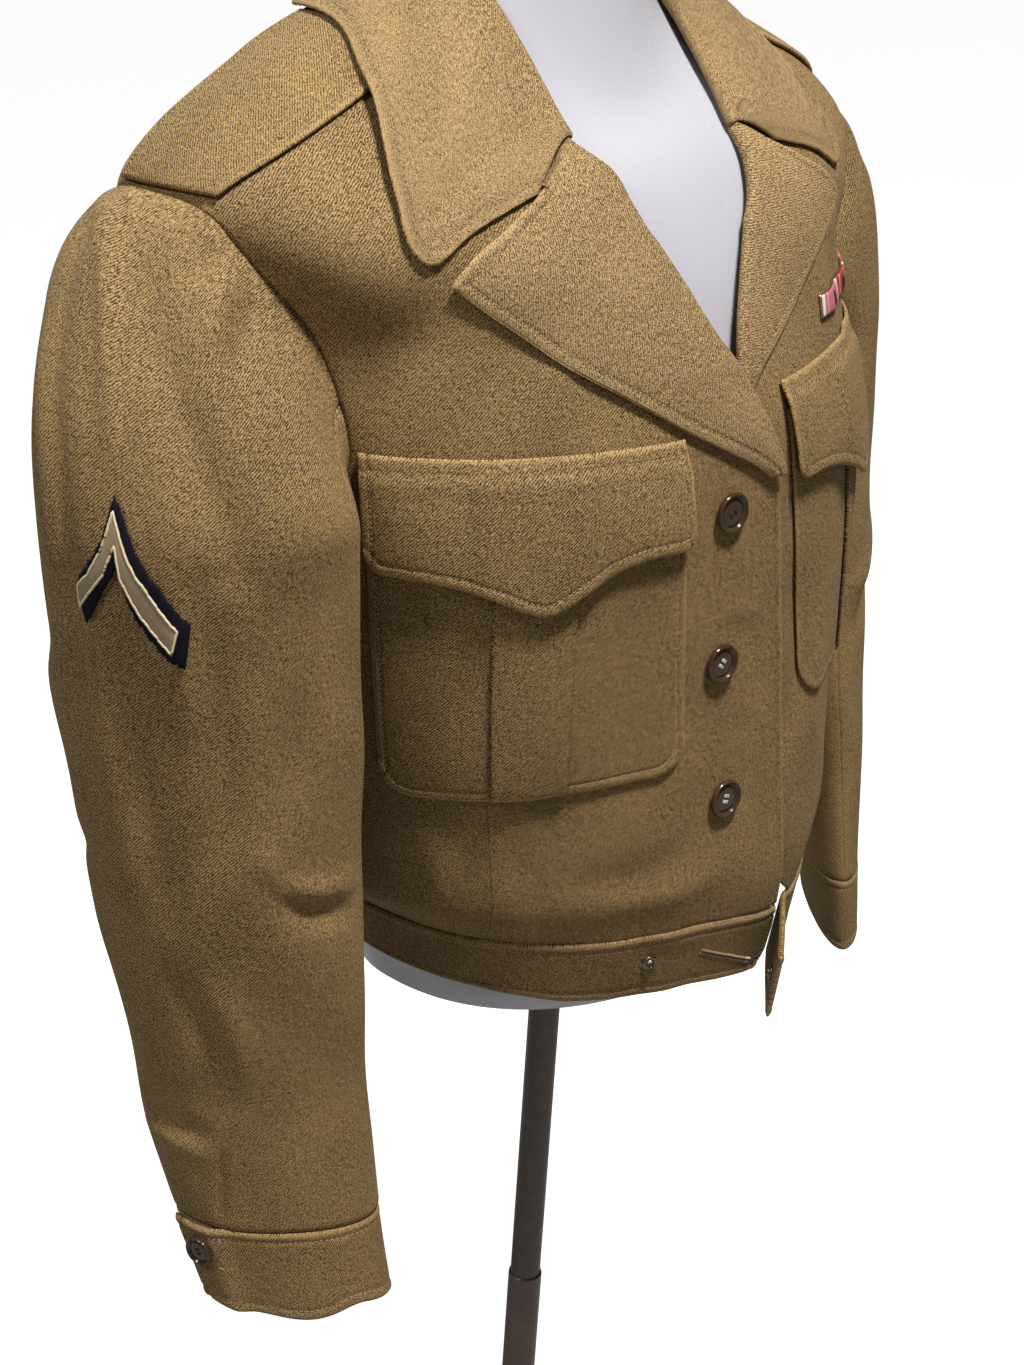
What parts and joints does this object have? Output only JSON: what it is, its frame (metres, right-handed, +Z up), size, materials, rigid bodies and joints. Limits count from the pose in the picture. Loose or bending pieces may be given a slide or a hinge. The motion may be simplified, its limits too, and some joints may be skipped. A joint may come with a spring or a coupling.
{
  "type": "ike jacket on a limbless dress form with a pole stand",
  "caption": "Waist-length wool field jacket with notched collar, lapels, flap pockets, shoulder straps and waistband, buttoned over a smooth torso form on a round-based pole stand.",
  "frame": {"origin": "on the floor, under the hem's middle, on the underside of the stand's base plate", "axes": "+Z up from the base to the neck, +X to the wearer's left, -Y towards the front of the jacket"},
  "size_m": [0.6438, 0.4154, 1.348],
  "materials": {
    "olive_wool_serge": "matte",
    "olive_wool_serge_bands": "matte",
    "lighter_wool_serge": "matte",
    "navy_wool_patch": "matte",
    "striped_ribbon": "matte",
    "brown_button": "gloss",
    "plated_metal": "satin",
    "white_form": "satin",
    "dark_metal": "satin"
  },
  "bodies": {
    "root": {"back": "olive_wool_serge", "front_right": "olive_wool_serge", "front_left": "olive_wool_serge", "top_sleeve_right": "olive_wool_serge", "top_sleeve_left": "olive_wool_serge", "under_sleeve_right": "olive_wool_serge", "under_sleeve_left": "olive_wool_serge", "shoulder_strap_right": "olive_wool_serge", "shoulder_strap_left": "olive_wool_serge", "pocket_right": "olive_wool_serge", "pocket_left": "olive_wool_serge", "pocket_pleat_right": "olive_wool_serge", "pocket_pleat_left": "olive_wool_serge", "flap_right": "olive_wool_serge", "flap_left": "olive_wool_serge", "waistband_right": "olive_wool_serge_bands", "waistband_back": "olive_wool_serge_bands", "waistband_left": "olive_wool_serge_bands", "cuff_right": "olive_wool_serge_bands", "cuff_left": "olive_wool_serge_bands", "lapel_right": "lighter_wool_serge", "lapel_left": "lighter_wool_serge", "collar": "lighter_wool_serge", "chevron_right": "navy_wool_patch", "chevron_left": "navy_wool_patch", "ribbon_bar": "striped_ribbon", "button_front_1": "brown_button", "button_front_2": "brown_button", "button_front_3": "brown_button", "button_cuff_right": "brown_button", "button_cuff_left": "brown_button", "snap_stud_right": "plated_metal", "snap_stud_left": "plated_metal", "form_flange": "plated_metal", "pole_upper": "plated_metal", "dress_form": "white_form", "pole_lower": "dark_metal", "base_plate": "dark_metal"}
  },
  "joints": []
}
